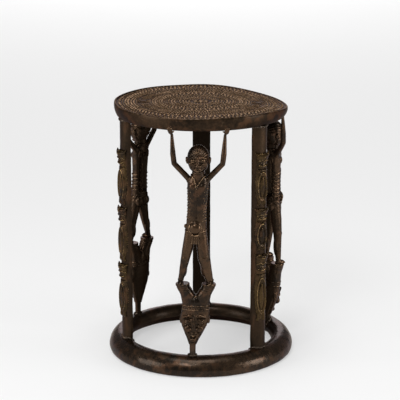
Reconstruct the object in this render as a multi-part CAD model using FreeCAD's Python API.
import FreeCAD
import Part
import math
import os
from collections import namedtuple

# A cast bronze stool. A round ornamented seat stands on a heavy base ring. Three half-round posts, each
# with a stack of relief figures on its outer face, alternate with three figures that hold the seat up.
# Each figure stands on a forked head, and each forked head on a short stem let into the ring.
# Units are millimetres. +Z is up, the floor is Z = 0 and the stool's axis is the Z axis.
# Every post and column is modelled facing -Y and then turned about the axis to its azimuth.

Vector = FreeCAD.Vector

# Fits
SOCKET_CLEARANCE = 0.15   # round a tenon or peg in its socket, on each side

# Base ring
RING_DIAMETER = 333.0
RING_WIDTH = 39.0
RING_HEIGHT = 34.0
RING_BELLY_HEIGHT = 8.0   # height at which the ring is widest
RING_FOOT_WIDTH = 16.0    # flat stripe that touches the floor
RING_FOOT_INSET = 6.0     # from the ring's outside to the flat stripe
RING_CREST_INSET = 14.0   # from the ring's inside to its crest

# Posts
POST_WIDTH = 33.0
POST_THICKNESS = 15.0
POST_CROWN = 11.0         # rise of the rounded outer face
POST_EDGE_RADIUS = 1.2
POST_LENGTH = 400.5       # from the ring's crest to the seat
POST_INSET = 0.5          # from the skirt's lower edge to the post's outer face
TENON_WIDTH = 20.0
TENON_THICKNESS = 7.0
FOOT_TENON_DEPTH = 14.0   # below the ring's crest
HEAD_TENON_DEPTH = 8.0    # into the seat
COLLAR_WIDTH = 2.4        # brazed collars round the head and foot of each post
FOOT_COLLAR_HEIGHT = 5.0
HEAD_COLLAR_HEIGHT = 4.0

# Seat
SEAT_DIAMETER = 305.0
SKIRT_DEPTH = 22.5        # top of the rim to the lower edge
SKIRT_TAPER = 4.0         # radius lost from rim to lower edge
SKIRT_BULGE = 1.6
RIM_LIP_WIDTH = 3.5
RIM_LIP_HEIGHT = 2.0      # lip above the ornamented field
RIM_EDGE_RADIUS = 1.5
RIM_LAND_WIDTH = 32.0     # flat stripe underneath that takes the posts and the hands
SEAT_PLATE_THICKNESS = 9.0
CORD_RADIUS = 1.3         # raised cords between the bands of ornament
CORD_PITCH = 24.0
CORD_COUNT = 5
BEAD_RADIUS = 2.2         # beaded border between the lip and the first cord
BEAD_COUNT = 96
BOSS_RADIUS = 8.0         # smooth round bosses between the second and third cords
BOSS_HEIGHT = 1.5
BOSS_COUNT = 8

# Stems and forked heads
STEM_DIAMETER = 10.5
STEM_SOCKET_DEPTH = 12.0
STEM_PEG_DIAMETER = 6.0
STEM_PEG_LENGTH = 10.0
STEM_BEAD_WIDTH = 3.0     # brazed bead round the foot of the stem
STEM_BEAD_HEIGHT = 4.0
CHIN_RADIUS = 6.5
FACE_WIDTH = 50.0
FACE_DEPTH = 26.0
FORK_LENGTH = 42.0        # from the brow to the prong tops
FORK_NOTCH = 21.0         # from the brow to the bottom of the notch
FORK_SPREAD = 47.0        # between the middles of the prong tops
PRONG_DIAMETER = 24.0
BROW_BAND_HEIGHT = 7.0
BROW_BAND_RELIEF = 1.0
MASK_NOSE_WIDTH = 8.5
MASK_NOSE_RELIEF = 4.5
MASK_EYE_WIDTH = 13.0
MASK_MOUTH_WIDTH = 15.0

# Figures
SHOULDER_DROP = 78.0      # shoulders below the seat
TORSO_LENGTH = 106.0      # shoulders to hips
CHEST_WIDTH = 36.0
CHEST_DEPTH = 25.0
WAIST_WIDTH = 32.0
WAIST_DEPTH = 23.0
HIP_WIDTH = 35.0
NECK_DIAMETER = 20.0
NECK_LENGTH = 6.0
HEAD_WIDTH = 38.0
HEAD_DEPTH = 38.0
HEAD_HEIGHT = 47.0
EAR_HEIGHT = 13.0
NOSE_WIDTH = 9.0
MOUTH_WIDTH = 15.0
THIGH_DIAMETER = 17.5
KNEE_DIAMETER = 13.0
ANKLE_DIAMETER = 8.6
STANCE = 52.0             # between the middles of the feet
FOOT_LENGTH = 20.0
FOOT_WIDTH = 11.0
FOOT_HEIGHT = 7.0
UPPER_ARM_DIAMETER = 9.0
WRIST_DIAMETER = 7.0
ELBOW_SPREAD = 82.0       # between the elbows
ELBOW_RISE = 21.0         # elbows above the shoulders
HAND_SPREAD = 94.0        # between the hands
HAND_WIDTH = 12.0
HAND_LENGTH = 18.0
NAVEL_RADIUS = 10.0
NAVEL_RELIEF = 3.0
BELT_THICKNESS = 3.0
APRON_WIDTH = 15.0
APRON_FLARE = 4.0
APRON_LENGTH = 22.0
APRON_THICKNESS = 5.0

# Relief figures
RELIEF_WIDTH = 25.0
RELIEF_DEPTH = 6.0
RELIEF_EAR_REACH = 2.0    # ears beyond the side of the body
RELIEF_GAP = 4.0

# Where everything stands round the axis, in degrees from the front towards +X
# A post's relief is turned a little round its crowned face, and its figures share the height between margins
Post = namedtuple("Post", "name azimuth relief_turn top_margin bottom_margin shares")
POSTS = (
    Post("front_left", -71.5, 14.0, 54.0, 40.0, (1.0, 1.0, 1.0)),
    Post("front_right", 47.0, -14.0, 47.0, 50.0, (0.96, 0.78, 1.26)),
    Post("rear", 179.5, 0.0, 50.0, 44.0, (1.0, 1.0, 1.0)),
)
# A forked head's chin is shifted sideways and inwards from its prongs, and a figure leans to one side
Column = namedtuple("Column", "name azimuth stem_length head_length chin_shift chin_inset lean")
COLUMNS = (
    Column("front", -3.6, 21.0, 111.0, -5.5, 0.0, 4.5),
    Column("rear_left", -126.5, 23.0, 120.0, 6.0, 0.0, -6.0),
    Column("rear_right", 112.0, 10.0, 104.5, 2.0, 7.0, 0.0),
)
RELIEF_NAMES = ("upper", "middle", "lower")

# Levels and radii that follow from the sizes above
RING_OUTER = RING_DIAMETER / 2
RING_INNER = RING_OUTER - RING_WIDTH
CREST_RADIUS = RING_INNER + RING_CREST_INSET
SEAT_UNDERSIDE = RING_HEIGHT + POST_LENGTH
SEAT_TOP = SEAT_UNDERSIDE + SKIRT_DEPTH
FIELD_TOP = SEAT_TOP - RIM_LIP_HEIGHT
PLATE_UNDERSIDE = FIELD_TOP - SEAT_PLATE_THICKNESS
RIM_RADIUS = SEAT_DIAMETER / 2
SKIRT_RADIUS = RIM_RADIUS - SKIRT_TAPER
LAND_INNER = SKIRT_RADIUS - RIM_LAND_WIDTH
FIELD_RADIUS = RIM_RADIUS - RIM_LIP_WIDTH
SHOULDER_LEVEL = SEAT_UNDERSIDE - SHOULDER_DROP
HIP_LEVEL = SHOULDER_LEVEL - TORSO_LENGTH
POST_RADIUS = SKIRT_RADIUS - POST_INSET - POST_THICKNESS / 2
POST_FACE = POST_RADIUS + POST_THICKNESS / 2
CROWN_RADIUS = ((POST_WIDTH / 2) ** 2 + POST_CROWN ** 2) / (2 * POST_CROWN)
POST_FOOT = RING_HEIGHT - FOOT_TENON_DEPTH
POST_HEAD = SEAT_UNDERSIDE + HEAD_TENON_DEPTH
COLUMN_RADIUS = CREST_RADIUS
HAND_RADIUS = SKIRT_RADIUS - HAND_WIDTH / 4
HALF_CHORD = math.sqrt(0.5)
SEAM_TURN = 45.0          # keeps a round socket's seam off the ring's crest


def turned(shape, azimuth):
    """Turns a shape that faces -Y about the stool's axis, to stand at an azimuth."""
    placed = shape.copy()
    placed.rotate(Vector(0, 0, 0), Vector(0, 0, 1), azimuth)
    return placed


def ellipsoid(centre, radii):
    """A solid ellipsoid with its axes along X, Y and Z."""
    scale = FreeCAD.Matrix()
    scale.scale(*radii)
    ball = Part.makeSphere(1.0).transformGeometry(scale)
    ball.translate(centre)
    return ball


def oval(centre, radius_x, radius_y):
    """A level ellipse as a closed wire that starts on the +X side."""
    curve = Part.Ellipse(Vector(0, 0, 0), max(radius_x, radius_y), min(radius_x, radius_y))
    wire = Part.Wire(curve.toShape())
    if radius_y > radius_x:
        wire.rotate(Vector(0, 0, 0), Vector(0, 0, 1), 90)
    wire.translate(centre)
    return wire


def trunk(sections):
    """A smooth upright solid through level ellipses, each given as (centre, radius_x, radius_y)."""
    return Part.makeLoft([oval(*section) for section in sections], True, False)


def limb(points, diameters):
    """A smooth solid along a bent line, with a round section of the given diameter at each point."""
    rings = []
    last = len(points) - 1
    for i, point in enumerate(points):
        ahead = points[min(i + 1, last)].sub(points[max(i - 1, 0)])
        circle = Part.Circle(point, ahead.normalize(), diameters[i] / 2)
        rings.append(Part.Wire(circle.toShape()))
    return Part.makeLoft(rings, True, False)


def rod(start, end, start_diameter, end_diameter):
    """A straight tapering rod."""
    along = end.sub(start)
    return Part.makeCone(start_diameter / 2, end_diameter / 2, along.Length, start, along)


def largest(shape):
    """The largest solid of a shape."""
    return max(shape.Solids, key=lambda solid: solid.Volume)


def joined(shapes):
    """One solid made of overlapping shapes."""
    return largest(shapes[0].multiFuse(shapes[1:]).removeSplitter())


def line(start, end):
    return Part.LineSegment(start, end).toShape()


def arc(start, middle, end):
    return Part.Arc(start, middle, end).toShape()


def at(radius, level):
    """A point of an outline in the XZ plane."""
    return Vector(radius, 0, level)


def bowed(start, end):
    """A point between two points of an outline, on a quarter round that leaves the first one upright."""
    return at(
        end.x + (start.x - end.x) * HALF_CHORD,
        start.z + (end.z - start.z) * HALF_CHORD,
    )


def revolved(edges):
    """A solid turned about the stool's axis from edges that close an outline in the XZ plane."""
    face = Part.Face(Part.Wire(Part.__sortEdges__(edges)))
    return Part.Solid(face.revolve(Vector(0, 0, 0), Vector(0, 0, 1), 360))


def plain_ring():
    """The base ring before its sockets: domed on top, flat at its foot and hollowed towards its inside."""
    foot_outer = at(RING_OUTER - RING_FOOT_INSET, 0)
    foot_inner = at(RING_OUTER - RING_FOOT_INSET - RING_FOOT_WIDTH, 0)
    belly_outer = at(RING_OUTER, RING_BELLY_HEIGHT)
    belly_inner = at(RING_INNER, RING_BELLY_HEIGHT)
    crest = at(CREST_RADIUS, RING_HEIGHT)
    return revolved([
        line(foot_inner, foot_outer),
        arc(foot_outer, bowed(belly_outer, foot_outer), belly_outer),
        arc(belly_outer, bowed(belly_outer, crest), crest),
        arc(crest, bowed(belly_inner, crest), belly_inner),
        line(belly_inner, foot_inner),
    ])


def base_ring(ring):
    """The base ring with a mortise for each post and a round socket for each stem."""
    cuts = []
    for place in POSTS:
        cuts.append(turned(tenon_block(SOCKET_CLEARANCE, POST_FOOT, RING_HEIGHT * 2), place.azimuth))
    for column in COLUMNS:
        foot = on_stem(column, RING_HEIGHT - STEM_SOCKET_DEPTH)
        radius = STEM_DIAMETER / 2 + SOCKET_CLEARANCE
        socket = Part.makeCylinder(radius, RING_HEIGHT, foot)
        socket.rotate(foot, Vector(0, 0, 1), SEAM_TURN)
        cuts.append(turned(socket, column.azimuth))
    return largest(ring.cut(cuts))


def plain_seat():
    """The seat before its mortises and ornament: a plate in a deep skirt, with a flat land underneath."""
    lower_edge = at(SKIRT_RADIUS, SEAT_UNDERSIDE)
    rim_low = at(RIM_RADIUS, SEAT_TOP - RIM_EDGE_RADIUS)
    rim_high = at(RIM_RADIUS - RIM_EDGE_RADIUS, SEAT_TOP)
    skirt_middle = at((RIM_RADIUS + SKIRT_RADIUS) / 2 + SKIRT_BULGE, (lower_edge.z + rim_low.z) / 2)
    edges = [
        line(at(0, PLATE_UNDERSIDE), at(LAND_INNER, PLATE_UNDERSIDE)),
        line(at(LAND_INNER, PLATE_UNDERSIDE), at(LAND_INNER, SEAT_UNDERSIDE)),
        line(at(LAND_INNER, SEAT_UNDERSIDE), lower_edge),
        arc(lower_edge, skirt_middle, rim_low),
        arc(rim_low, bowed(rim_low, rim_high), rim_high),
        line(rim_high, at(FIELD_RADIUS, SEAT_TOP)),
        line(at(FIELD_RADIUS, SEAT_TOP), at(FIELD_RADIUS, FIELD_TOP)),
    ]
    edges += field_outline()
    edges.append(line(at(0, FIELD_TOP), at(0, PLATE_UNDERSIDE)))
    return revolved(edges)


def cord_radius(index):
    """The radius of a raised cord's circle, counted from the outside."""
    return FIELD_RADIUS - CORD_PITCH * (index + 0.5)


def field_outline():
    """The ornamented field's outline, from its edge to the axis, with a half-round at each cord."""
    edges = []
    start = at(FIELD_RADIUS, FIELD_TOP)
    for i in range(CORD_COUNT):
        outside = at(cord_radius(i) + CORD_RADIUS, FIELD_TOP)
        inside = at(cord_radius(i) - CORD_RADIUS, FIELD_TOP)
        edges.append(line(start, outside))
        edges.append(arc(outside, at(cord_radius(i), FIELD_TOP + CORD_RADIUS), inside))
        start = inside
    edges.append(line(start, at(0, FIELD_TOP)))
    return edges


def seat(top):
    """The seat with its beaded border, its bosses and a blind mortise underneath for each post."""
    ornament = []
    border = (FIELD_RADIUS + cord_radius(0)) / 2
    bead = Part.makeSphere(BEAD_RADIUS, Vector(0, -border, FIELD_TOP - BEAD_RADIUS / 4))
    for i in range(BEAD_COUNT):
        ornament.append(turned(bead, 360 * i / BEAD_COUNT))
    ring_of_bosses = (cord_radius(1) + cord_radius(2)) / 2
    boss_foot = Vector(0, -ring_of_bosses, FIELD_TOP - BOSS_HEIGHT)
    boss = Part.makeCone(BOSS_RADIUS, BOSS_RADIUS - BOSS_HEIGHT, 2 * BOSS_HEIGHT, boss_foot)
    for i in range(BOSS_COUNT):
        ornament.append(turned(boss, 360 * (i + 0.5) / BOSS_COUNT))
    cuts = []
    for place in POSTS:
        cuts.append(turned(tenon_block(SOCKET_CLEARANCE, 0, POST_HEAD), place.azimuth))
    return largest(top.multiFuse(ornament).cut(cuts))


def post_prism(margin, bottom, top):
    """A post's half-round section, larger by a margin on each side, from one level to another."""
    half = POST_WIDTH / 2 + margin
    inner = POST_THICKNESS / 2 + margin - POST_RADIUS
    outer = -POST_FACE - margin
    shoulder = outer + POST_CROWN
    outline = Part.Wire([
        line(Vector(-half, inner, bottom), Vector(half, inner, bottom)),
        line(Vector(half, inner, bottom), Vector(half, shoulder, bottom)),
        arc(Vector(half, shoulder, bottom), Vector(0, outer, bottom), Vector(-half, shoulder, bottom)),
        line(Vector(-half, shoulder, bottom), Vector(-half, inner, bottom)),
    ])
    prism = Part.Face(outline).extrude(Vector(0, 0, top - bottom))
    upright = [edge for edge in prism.Edges if is_upright(edge)]
    return prism.makeFillet(POST_EDGE_RADIUS, upright)


def is_upright(edge):
    """True for a straight edge along Z."""
    return isinstance(edge.Curve, Part.Line) and abs(edge.Curve.Direction.z) > 0.99


def tenon_block(margin, bottom, top):
    """A post's tenon, larger by a margin on each side, from one level to another."""
    width = TENON_WIDTH + 2 * margin
    depth = TENON_THICKNESS + 2 * margin
    corner = Vector(-width / 2, -POST_RADIUS - depth / 2, bottom)
    return Part.makeBox(width, depth, top - bottom, corner)


def post(ring):
    """A post that sits on the ring and under the seat, with a tenon that bottoms in each."""
    shaft = post_prism(0, RING_HEIGHT / 2, SEAT_UNDERSIDE).cut(ring)
    return joined([above(shaft, RING_HEIGHT / 2), tenon_block(0, POST_FOOT, POST_HEAD)])


def foot_collar(ring):
    """The brazed collar round a post's foot, shaped to the ring below it."""
    block = post_prism(COLLAR_WIDTH, RING_HEIGHT / 2, RING_HEIGHT + FOOT_COLLAR_HEIGHT)
    bore = post_prism(0, RING_HEIGHT / 4, SEAT_TOP)
    return above(block.cut(bore).cut(ring), RING_HEIGHT / 2)


def head_collar():
    """The brazed collar round a post's head, flat against the seat and flush with the skirt."""
    block = post_prism(COLLAR_WIDTH, SEAT_UNDERSIDE - HEAD_COLLAR_HEIGHT, SEAT_UNDERSIDE)
    return largest(block.cut(post_prism(0, RING_HEIGHT, SEAT_TOP)))


def above(shape, level):
    """The largest solid of what lies above a level."""
    reach = RING_DIAMETER
    keep = Part.makeBox(2 * reach, 2 * reach, 2 * reach, Vector(-reach, -reach, level))
    return largest(shape.common(keep))


def chin_level(column):
    return RING_HEIGHT + column.stem_length


def prong_level(column):
    """The level of the prong tops, where the figure's feet stand."""
    return chin_level(column) + column.head_length


def on_column(level, x=0):
    """A point on a column's own upright line, or to one side of it."""
    return Vector(x, -COLUMN_RADIUS, level)


def on_stem(column, level):
    """A point on the upright line of a column's stem."""
    return Vector(column.chin_shift, column.chin_inset - COLUMN_RADIUS, level)


def stem(column, ring):
    """A round stem from its socket in the ring to the chin, with a peg on top and a brazed bead."""
    foot = on_stem(column, RING_HEIGHT - STEM_SOCKET_DEPTH)
    shaft = Part.makeCylinder(STEM_DIAMETER / 2, STEM_SOCKET_DEPTH + column.stem_length, foot)
    peg = stem_peg(column, 0)
    bead_radius = STEM_DIAMETER / 2 + STEM_BEAD_WIDTH
    bead_height = RING_HEIGHT / 2 + STEM_BEAD_HEIGHT
    bead = Part.makeCone(bead_radius, STEM_DIAMETER / 2, bead_height, on_stem(column, RING_HEIGHT / 2))
    return joined([shaft, peg, above(bead.cut(ring), RING_HEIGHT / 2)])


def stem_peg(column, margin):
    """The peg that holds a forked head on its stem, larger by a margin."""
    foot = on_stem(column, chin_level(column) - margin)
    return Part.makeCylinder(STEM_PEG_DIAMETER / 2 + margin, STEM_PEG_LENGTH + 2 * margin, foot)


def forked_head(column):
    """A long head that stands on its chin, with a brow band and two blunt prongs on top."""
    chin = chin_level(column)
    brow = prong_level(column) - FORK_LENGTH
    length = brow - chin
    half_width = FACE_WIDTH / 2
    half_depth = FACE_DEPTH / 2

    def on_axis(level):
        below = (brow - level) / length
        return Vector(column.chin_shift * below, column.chin_inset * below - COLUMN_RADIUS, level)

    outline = (
        (chin, CHIN_RADIUS, CHIN_RADIUS),
        (chin + length * 0.3, half_width * 0.58, half_depth * 0.7),
        (chin + length * 0.7, half_width, half_depth),
        (brow, half_width * 0.9, half_depth * 0.95),
    )
    face = trunk([(on_axis(level), rx, ry) for level, rx, ry in outline])
    crown = trunk([
        (on_column(brow - BROW_BAND_HEIGHT / 4), half_width * 0.88, half_depth * 0.93),
        (on_column(brow + FORK_NOTCH / 2), half_width * 0.62, half_depth * 0.72),
        (on_column(brow + FORK_NOTCH), half_width * 0.3, half_depth * 0.4),
    ])
    band_width = half_width * 0.9 + BROW_BAND_RELIEF
    band_depth = half_depth * 0.95 + BROW_BAND_RELIEF
    band = trunk([
        (on_column(brow - BROW_BAND_HEIGHT / 2), band_width, band_depth),
        (on_column(brow + BROW_BAND_HEIGHT / 2), band_width, band_depth),
    ])
    prongs = [prong(side, brow, prong_level(column)) for side in (-1, 1)]
    head_shape = joined([face, crown, band] + prongs + mask_features(chin, length, on_axis))
    return largest(head_shape.cut(stem_peg(column, SOCKET_CLEARANCE)))


def prong(side, brow, top):
    """One blunt prong, leaning outwards and cut level on top."""
    radius = PRONG_DIAMETER / 2
    return trunk([
        (on_column(brow - BROW_BAND_HEIGHT / 3, side * radius * 0.75), radius * 0.9, radius * 0.9),
        (on_column((brow + top) / 2, side * (radius + FORK_SPREAD / 2) / 2), radius * 0.95, radius * 0.9),
        (on_column(top, side * FORK_SPREAD / 2), radius, radius),
    ])


def mask_features(chin, length, on_axis):
    """Nose, eyes, mouth and ears of a forked head, set on its tapering face."""

    def spot(across, depth, share):
        return on_axis(chin + length * share) + Vector(across, depth - FACE_DEPTH / 2, 0)

    nose = limb(
        [spot(0, 1.0, 0.86), spot(0, -MASK_NOSE_RELIEF / 2, 0.6), spot(0, 1.5 - MASK_NOSE_RELIEF, 0.46)],
        [MASK_NOSE_WIDTH * 0.55, MASK_NOSE_WIDTH * 0.75, MASK_NOSE_WIDTH],
    )
    mouth = ellipsoid(spot(0, 4.5, 0.27), (MASK_MOUTH_WIDTH / 2, 4.0, 3.0))
    shapes = [nose, mouth]
    for side in (-1, 1):
        eye = spot(side * FACE_WIDTH * 0.22, 1.8, 0.68)
        shapes.append(ellipsoid(eye, (MASK_EYE_WIDTH / 2, 3.0, MASK_EYE_WIDTH / 3)))
        ear = spot(side * FACE_WIDTH * 0.48, FACE_DEPTH * 0.5, 0.66)
        shapes.append(ellipsoid(ear, (2.5, 4.0, 8.0)))
    return shapes


def figure(column, top):
    """A standing figure with raised arms: its feet stand on the prongs and its hands hold the skirt."""
    shapes = [torso(column)] + head(column) + legs(prong_level(column)) + dress()
    for side in (-1, 1):
        shapes += arm(column, side)
    return largest(joined(shapes).cut(top))


def torso(column):
    """The trunk, from between the thighs to the neck, leaning sideways from hips to shoulders."""
    neck = NECK_DIAMETER / 2
    outline = (
        (-0.06, HIP_WIDTH * 0.36, WAIST_DEPTH * 0.4),
        (0.1, HIP_WIDTH / 2, CHEST_DEPTH / 2),
        (0.42, WAIST_WIDTH / 2, WAIST_DEPTH / 2),
        (0.82, CHEST_WIDTH / 2, CHEST_DEPTH / 2),
        (0.97, CHEST_WIDTH * 0.46, CHEST_DEPTH * 0.42),
    )
    sections = [
        (on_column(HIP_LEVEL + TORSO_LENGTH * share, column.lean * max(share, 0)), rx, ry)
        for share, rx, ry in outline
    ]
    sections.append((on_column(SHOULDER_LEVEL + NECK_LENGTH, column.lean), neck, neck))
    return trunk(sections)


def head(column):
    """The neck and the head with its ears, nose and mouth."""
    x = column.lean
    neck_foot = on_column(SHOULDER_LEVEL - NECK_LENGTH / 2, x)
    middle = on_column(SHOULDER_LEVEL + NECK_LENGTH + HEAD_HEIGHT / 2, x)
    neck = rod(neck_foot, middle, NECK_DIAMETER * 0.96, NECK_DIAMETER * 0.94)
    front = middle.y - HEAD_DEPTH / 2
    skull = ellipsoid(middle, (HEAD_WIDTH / 2, HEAD_DEPTH / 2, HEAD_HEIGHT / 2))
    jaw = ellipsoid(
        middle + Vector(0, -HEAD_DEPTH * 0.08, -HEAD_HEIGHT * 0.2),
        (HEAD_WIDTH * 0.37, HEAD_DEPTH * 0.38, HEAD_HEIGHT * 0.29),
    )
    nose = limb(
        [
            Vector(x, front + 1.5, middle.z + HEAD_HEIGHT * 0.04),
            Vector(x, front - 0.5, middle.z - HEAD_HEIGHT * 0.07),
            Vector(x, front - 0.5, middle.z - HEAD_HEIGHT * 0.15),
        ],
        [NOSE_WIDTH * 0.5, NOSE_WIDTH * 0.7, NOSE_WIDTH],
    )
    mouth = ellipsoid(
        Vector(x, front + 2.5, middle.z - HEAD_HEIGHT * 0.27),
        (MOUTH_WIDTH / 2, 3.5, 2.6),
    )
    shapes = [neck, skull, jaw, nose, mouth]
    for side in (-1, 1):
        ear = Vector(x + side * HEAD_WIDTH * 0.51, middle.y, middle.z - HEAD_HEIGHT * 0.06)
        shapes.append(ellipsoid(ear, (3.0, 4.5, EAR_HEIGHT / 2)))
    return shapes


def legs(foot_level):
    """Both legs with their feet, which are flat underneath."""
    shapes = []
    knee_level = (HIP_LEVEL + foot_level + FOOT_HEIGHT) / 2
    for side in (-1, 1):
        foot_x = side * STANCE / 2
        hip_x = side * HIP_WIDTH * 0.26
        knee_x = (foot_x + hip_x) / 2
        shapes.append(limb(
            [
                Vector(hip_x, -COLUMN_RADIUS, HIP_LEVEL + THIGH_DIAMETER * 0.4),
                Vector(knee_x, -COLUMN_RADIUS - 2.0, knee_level),
                Vector(foot_x, -COLUMN_RADIUS, foot_level + FOOT_HEIGHT * 0.4),
            ],
            [THIGH_DIAMETER, KNEE_DIAMETER, ANKLE_DIAMETER],
        ))
        shapes.append(foot(foot_x, foot_level))
    return shapes


def foot(x, level):
    """A foot, longer in front of the ankle than behind it, with a flat sole."""
    middle = Vector(x, -COLUMN_RADIUS - FOOT_LENGTH * 0.15, level + FOOT_HEIGHT * 0.2)
    shape = ellipsoid(middle, (FOOT_WIDTH / 2, FOOT_LENGTH / 2, FOOT_HEIGHT * 0.8))
    below = Part.makeBox(
        2 * FOOT_WIDTH, 2 * FOOT_LENGTH, 2 * FOOT_HEIGHT,
        Vector(x - FOOT_WIDTH, middle.y - FOOT_LENGTH, level - 2 * FOOT_HEIGHT),
    )
    return shape.cut(below)


def dress():
    """The round boss on the belly, the belt under it and the apron that hangs from the belt."""
    boss_level = HIP_LEVEL + TORSO_LENGTH * 0.14
    belt_level = boss_level - NAVEL_RADIUS * 0.9
    front = -COLUMN_RADIUS - CHEST_DEPTH / 2
    boss = Part.makeCylinder(
        NAVEL_RADIUS, CHEST_DEPTH / 2 + NAVEL_RELIEF, on_column(boss_level), Vector(0, -1, 0)
    )
    boss = boss.makeFillet(NAVEL_RELIEF / 2, [boss.Edges[0]])
    belt_width = HIP_WIDTH / 2 + BELT_THICKNESS / 2
    belt_depth = CHEST_DEPTH / 2 + BELT_THICKNESS / 2
    belt = trunk([
        (on_column(belt_level - BELT_THICKNESS / 2), belt_width, belt_depth),
        (on_column(belt_level + BELT_THICKNESS / 2), belt_width, belt_depth),
    ])
    half = APRON_WIDTH / 2
    hem = half + APRON_FLARE / 2
    face = front - BELT_THICKNESS * 0.8
    apron = Part.Face(Part.makePolygon([
        Vector(-half, face, belt_level),
        Vector(half, face, belt_level),
        Vector(hem, face, belt_level - APRON_LENGTH),
        Vector(-hem, face, belt_level - APRON_LENGTH),
        Vector(-half, face, belt_level),
    ])).extrude(Vector(0, APRON_THICKNESS + CHEST_DEPTH / 4, 0))
    return [boss, belt, apron]


def arm(column, side):
    """A raised arm, bent at the elbow, with a hand that wraps the skirt's lower edge."""
    hand_x = column.lean + side * HAND_SPREAD / 2
    hand_y = -math.sqrt(HAND_RADIUS ** 2 - hand_x ** 2)
    hand_at = Vector(hand_x, hand_y, SEAT_UNDERSIDE)
    shoulder = Vector(
        column.lean + side * CHEST_WIDTH * 0.4, -COLUMN_RADIUS, SHOULDER_LEVEL - UPPER_ARM_DIAMETER * 0.8
    )
    elbow = Vector(column.lean + side * ELBOW_SPREAD / 2, -COLUMN_RADIUS, SHOULDER_LEVEL + ELBOW_RISE)
    wrist = hand_at - Vector(side * HAND_WIDTH * 0.2, 0, HAND_LENGTH * 0.4)
    bend = (UPPER_ARM_DIAMETER * 1.04) / 2
    return [
        rod(shoulder, elbow, UPPER_ARM_DIAMETER * 1.1, UPPER_ARM_DIAMETER),
        Part.makeSphere(bend, elbow),
        rod(elbow, wrist, UPPER_ARM_DIAMETER, WRIST_DIAMETER),
        ellipsoid(hand_at, (HAND_WIDTH / 2, HAND_WIDTH / 2, HAND_LENGTH / 2)),
    ]


def crown_drop(across):
    """How far a post's crowned face has fallen back at a distance from its middle."""
    return CROWN_RADIUS - math.sqrt(CROWN_RADIUS ** 2 - min(abs(across), POST_WIDTH / 2) ** 2)


def relief_figure(bottom, height):
    """A small standing figure in relief, with upright ears and its hands on its belly."""
    half = RELIEF_WIDTH / 2
    deep = RELIEF_DEPTH

    def spot(across, out, up):
        x = across * half
        return Vector(x, crown_drop(x) - POST_FACE - out * deep, bottom + up * height)

    ear = 1 + RELIEF_EAR_REACH / half
    shapes = [
        ellipsoid(spot(0, 0.0, 0.79), (half * 0.84, deep * 1.0, height * 0.125)),
        ellipsoid(spot(0, -0.1, 0.47), (half * 0.7, deep * 0.85, height * 0.24)),
        ellipsoid(spot(0, 0.95, 0.78), (half * 0.17, deep * 0.35, height * 0.045)),
    ]
    for side in (-1, 1):
        shapes.append(limb(
            [spot(side * 0.45, 0.2, 0.85), spot(side * 0.75, 0.45, 0.92), spot(side * ear, 0.7, 0.995)],
            [half * 0.6, half * 0.42, half * 0.16],
        ))
        shapes.append(limb(
            [spot(side * 0.6, 0.05, 0.66), spot(side * 0.85, 0.2, 0.54),
             spot(side * 0.72, 0.35, 0.44), spot(side * 0.2, 0.6, 0.4)],
            [half * 0.4, half * 0.4, half * 0.38, half * 0.3],
        ))
        shapes.append(limb(
            [spot(side * 0.34, 0.0, 0.32), spot(side * 0.46, 0.2, 0.18), spot(side * 0.4, 0.1, 0.03)],
            [half * 0.66, half * 0.58, half * 0.46],
        ))
        shapes.append(ellipsoid(spot(side * 0.42, 0.4, 0.03), (half * 0.28, deep * 0.6, height * 0.028)))
    return joined(shapes)


def relief_stack(place):
    """The relief figures of one post, from the top down, each cut to the post's crowned face."""
    usable = POST_LENGTH - place.top_margin - place.bottom_margin - RELIEF_GAP * (len(place.shares) - 1)
    top = SEAT_UNDERSIDE - place.top_margin
    crown_middle = Vector(0, CROWN_RADIUS - POST_FACE, 0)
    crown = Part.makeCylinder(CROWN_RADIUS, SEAT_UNDERSIDE, crown_middle)
    stack = []
    for share in place.shares:
        height = usable * share / sum(place.shares)
        relief = largest(relief_figure(top - height, height).cut(crown))
        relief.rotate(crown_middle, Vector(0, 0, 1), place.relief_turn)
        stack.append(relief)
        top -= height + RELIEF_GAP
    return stack


def build():
    """All the stool's pieces by node name."""
    ring = plain_ring()
    top = plain_seat()
    nodes = {"base_ring": base_ring(ring), "seat": seat(top)}
    for place in POSTS:
        nodes["post_" + place.name] = turned(post(ring), place.azimuth)
        nodes["foot_collar_" + place.name] = turned(foot_collar(ring), place.azimuth)
        nodes["head_collar_" + place.name] = turned(head_collar(), place.azimuth)
        for name, relief in zip(RELIEF_NAMES, relief_stack(place)):
            nodes["relief_" + place.name + "_" + name] = turned(relief, place.azimuth)
    for column in COLUMNS:
        nodes["stem_" + column.name] = turned(stem(column, ring), column.azimuth)
        nodes["forked_head_" + column.name] = turned(forked_head(column), column.azimuth)
        nodes["figure_" + column.name] = turned(figure(column, top), column.azimuth)
    return nodes


def main():
    os.makedirs("parts", exist_ok=True)
    for name, shape in build().items():
        print(f"{name:30s} solids {len(shape.Solids)} valid {shape.isValid()} volume {shape.Volume:9.0f}")
        shape.exportStep(os.path.join("parts", name + ".step"))


if __name__ == "__main__":
    main()
